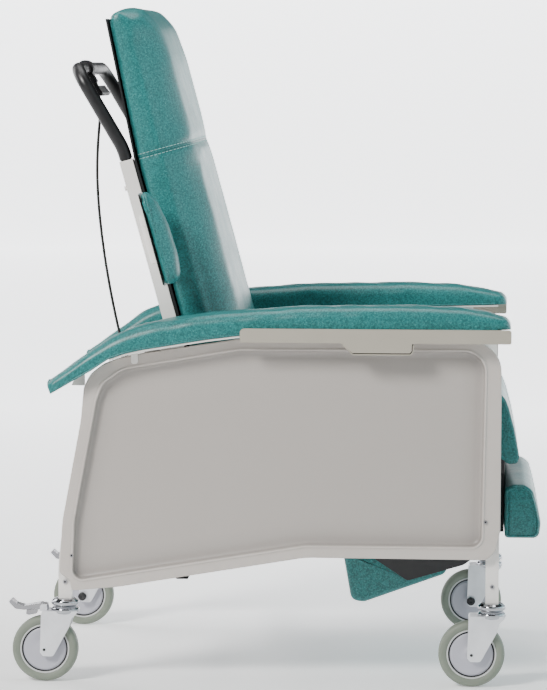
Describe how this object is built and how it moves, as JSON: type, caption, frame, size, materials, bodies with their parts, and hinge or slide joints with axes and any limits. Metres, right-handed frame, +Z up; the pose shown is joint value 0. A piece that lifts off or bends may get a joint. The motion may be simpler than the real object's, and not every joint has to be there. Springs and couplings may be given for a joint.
{
  "type": "geriatric recliner",
  "caption": "High-backed reclining care chair on swivel casters, with padded back and headrest, wing pads, armrests, push handle, linked leg rest and fold-out footrest.",
  "frame": {"origin": "on the floor, under the middle of the chair's overall box", "axes": "+X to the front of the seat, +Y to the sitter's left, +Z up"},
  "size_m": [1.0179, 0.75, 1.295],
  "materials": {
    "teal_vinyl": "fine pebbled satin vinyl",
    "panel_plastic": "satin moulded",
    "frame_paint": "satin powder coat",
    "black_steel": "satin powder coat",
    "black_board": "matte",
    "white_board": "satin",
    "rail_plastic": "satin moulded",
    "bright_steel": "plated",
    "chrome": "polished",
    "zinc_steel": "zinc plated, stamped",
    "hub_plastic": "satin moulded",
    "tyre_rubber": "matte",
    "grip_rubber": "satin",
    "black_plastic": "satin"
  },
  "bodies": {
    "base": {"side_panel_right": "panel_plastic", "side_panel_left": "panel_plastic", "side_frame_right": "frame_paint", "side_frame_left": "frame_paint", "front_cross_tube": "frame_paint", "middle_cross_tube": "frame_paint", "rear_cross_tube": "black_steel", "seat_rails": "black_steel", "seat_board": "black_board", "seat_cushion": "teal_vinyl", "inner_side_pad_right": "teal_vinyl", "inner_side_pad_left": "teal_vinyl", "armrest_pad_right": "teal_vinyl", "armrest_pad_left": "teal_vinyl", "armrest_boards": "white_board", "tray_rail_right": "rail_plastic", "tray_rail_left": "rail_plastic", "armrest_brackets": "frame_paint", "panel_screws": "bright_steel", "pivot_pins": "bright_steel", "gas_spring_bracket": "black_steel", "caster_stems": "chrome"},
    "back": {"back_frame": "frame_paint", "back_board": "black_board", "back_cushion": "teal_vinyl", "headrest_cushion": "teal_vinyl", "push_handle": "black_steel", "handle_grip": "grip_rubber", "lever_bracket": "black_steel", "release_cable": "grip_rubber", "wing_brackets": "frame_paint"},
    "wing_right": {"wing_board_right": "frame_paint", "wing_pad_right": "teal_vinyl"},
    "wing_left": {"wing_board_left": "frame_paint", "wing_pad_left": "teal_vinyl"},
    "lever": {"release_lever": "black_plastic"},
    "legrest": {"legrest_frame": "black_steel", "legrest_boards": "black_board", "calf_pad": "teal_vinyl", "lower_leg_pad": "teal_vinyl"},
    "footrest": {"footrest_plates": "black_steel", "footrest_pad": "teal_vinyl"},
    "rods": {"connecting_rods": "black_steel"},
    "gas_tube": {"gas_cylinder": "black_steel"},
    "gas_piston": {"gas_rod": "bright_steel"},
    "swivel_front_right": {"caster_fork_front_right": "zinc_steel"},
    "wheel_front_right": {"caster_hub_front_right": "hub_plastic", "caster_tyre_front_right": "tyre_rubber"},
    "swivel_front_left": {"caster_fork_front_left": "zinc_steel"},
    "wheel_front_left": {"caster_hub_front_left": "hub_plastic", "caster_tyre_front_left": "tyre_rubber"},
    "swivel_rear_right": {"caster_fork_rear_right": "zinc_steel"},
    "wheel_rear_right": {"caster_hub_rear_right": "hub_plastic", "caster_tyre_rear_right": "tyre_rubber"},
    "pedal_right": {"brake_pedal_right": "bright_steel"},
    "swivel_rear_left": {"caster_fork_rear_left": "zinc_steel"},
    "wheel_rear_left": {"caster_hub_rear_left": "hub_plastic", "caster_tyre_rear_left": "tyre_rubber"},
    "pedal_left": {"brake_pedal_left": "bright_steel"}
  },
  "joints": [
    {"name": "back_recline", "type": "hinge", "parent": "base", "child": "back", "pos_m": [-0.1505, 0, 0.49], "axis": [0, -1, 0], "range_deg": [0, 45]},
    {"name": "legrest_lift", "type": "hinge", "parent": "base", "child": "legrest", "pos_m": [0.3985, 0, 0.52], "axis": [0, -1, 0], "range_deg": [0, 67.6]},
    {"name": "footrest_flip", "type": "hinge", "parent": "legrest", "child": "footrest", "pos_m": [0.415, 0, 0.268], "axis": [0, -1, 0], "range_deg": [0, 90.1]},
    {"name": "rod_swing", "type": "hinge", "parent": "back", "child": "rods", "pos_m": [-0.20009, 0, 0.35374], "axis": [0, -1, 0], "range_deg": [-44.8, 0]},
    {"name": "gas_swing", "type": "hinge", "parent": "base", "child": "gas_tube", "pos_m": [0.1285, 0, 0.374], "axis": [0, -1, 0], "range_deg": [0, 0.7]},
    {"name": "gas_stroke", "type": "slide", "parent": "gas_tube", "child": "gas_piston", "axis": [-0.9922, 0, 0.1248], "range_m": [-0.0654, 0]},
    {"name": "release_squeeze", "type": "hinge", "parent": "back", "child": "lever", "pos_m": [-0.3737, 0, 1.14868], "axis": [0, 1, 0], "range_deg": [0, 18], "stiffness_Nm_per_rad": 0.8},
    {"name": "wing_swing_right", "type": "hinge", "parent": "back", "child": "wing_right", "pos_m": [-0.24366, -0.294, 0.84813], "axis": [-0.2674, 0, 0.9636], "range_deg": [0, 65]},
    {"name": "wing_swing_left", "type": "hinge", "parent": "back", "child": "wing_left", "pos_m": [-0.24366, 0.294, 0.84813], "axis": [0.2674, 0, -0.9636], "range_deg": [0, 65]},
    {"name": "swivel_front_right", "type": "hinge", "parent": "base", "child": "swivel_front_right", "pos_m": [0.4155, -0.31, 0.1], "axis": [0, 0, 1], "continuous": true},
    {"name": "roll_front_right", "type": "hinge", "parent": "swivel_front_right", "child": "wheel_front_right", "pos_m": [0.3772, -0.31, 0.0635], "axis": [0, 1, 0], "continuous": true},
    {"name": "swivel_front_left", "type": "hinge", "parent": "base", "child": "swivel_front_left", "pos_m": [0.4155, 0.31, 0.1], "axis": [0, 0, 1], "continuous": true},
    {"name": "roll_front_left", "type": "hinge", "parent": "swivel_front_left", "child": "wheel_front_left", "pos_m": [0.3772, 0.31, 0.0635], "axis": [0, 1, 0], "continuous": true},
    {"name": "swivel_rear_right", "type": "hinge", "parent": "base", "child": "swivel_rear_right", "pos_m": [-0.402, -0.31, 0.1], "axis": [0, 0, 1], "continuous": true},
    {"name": "roll_rear_right", "type": "hinge", "parent": "swivel_rear_right", "child": "wheel_rear_right", "pos_m": [-0.4403, -0.31, 0.0635], "axis": [0, 1, 0], "continuous": true},
    {"name": "brake_right", "type": "hinge", "parent": "swivel_rear_right", "child": "pedal_right", "pos_m": [-0.442, -0.31, 0.1445], "axis": [0, -1, 0], "range_deg": [0, 10]},
    {"name": "swivel_rear_left", "type": "hinge", "parent": "base", "child": "swivel_rear_left", "pos_m": [-0.402, 0.31, 0.1], "axis": [0, 0, 1], "continuous": true},
    {"name": "roll_rear_left", "type": "hinge", "parent": "swivel_rear_left", "child": "wheel_rear_left", "pos_m": [-0.4403, 0.31, 0.0635], "axis": [0, 1, 0], "continuous": true},
    {"name": "brake_left", "type": "hinge", "parent": "swivel_rear_left", "child": "pedal_left", "pos_m": [-0.442, 0.31, 0.1445], "axis": [0, -1, 0], "range_deg": [0, 10]}
  ],
  "couplings": [
    {"joint": "legrest_lift", "follows": "back_recline", "ratio": 1.5},
    {"joint": "footrest_flip", "follows": "back_recline", "ratio": 2},
    {"joint": "rod_swing", "follows": "back_recline", "ratio": -0.99116},
    {"joint": "gas_swing", "follows": "back_recline", "ratio": 0.012882},
    {"joint": "gas_stroke", "follows": "back_recline", "m_per_rad": -0.082828}
  ]
}
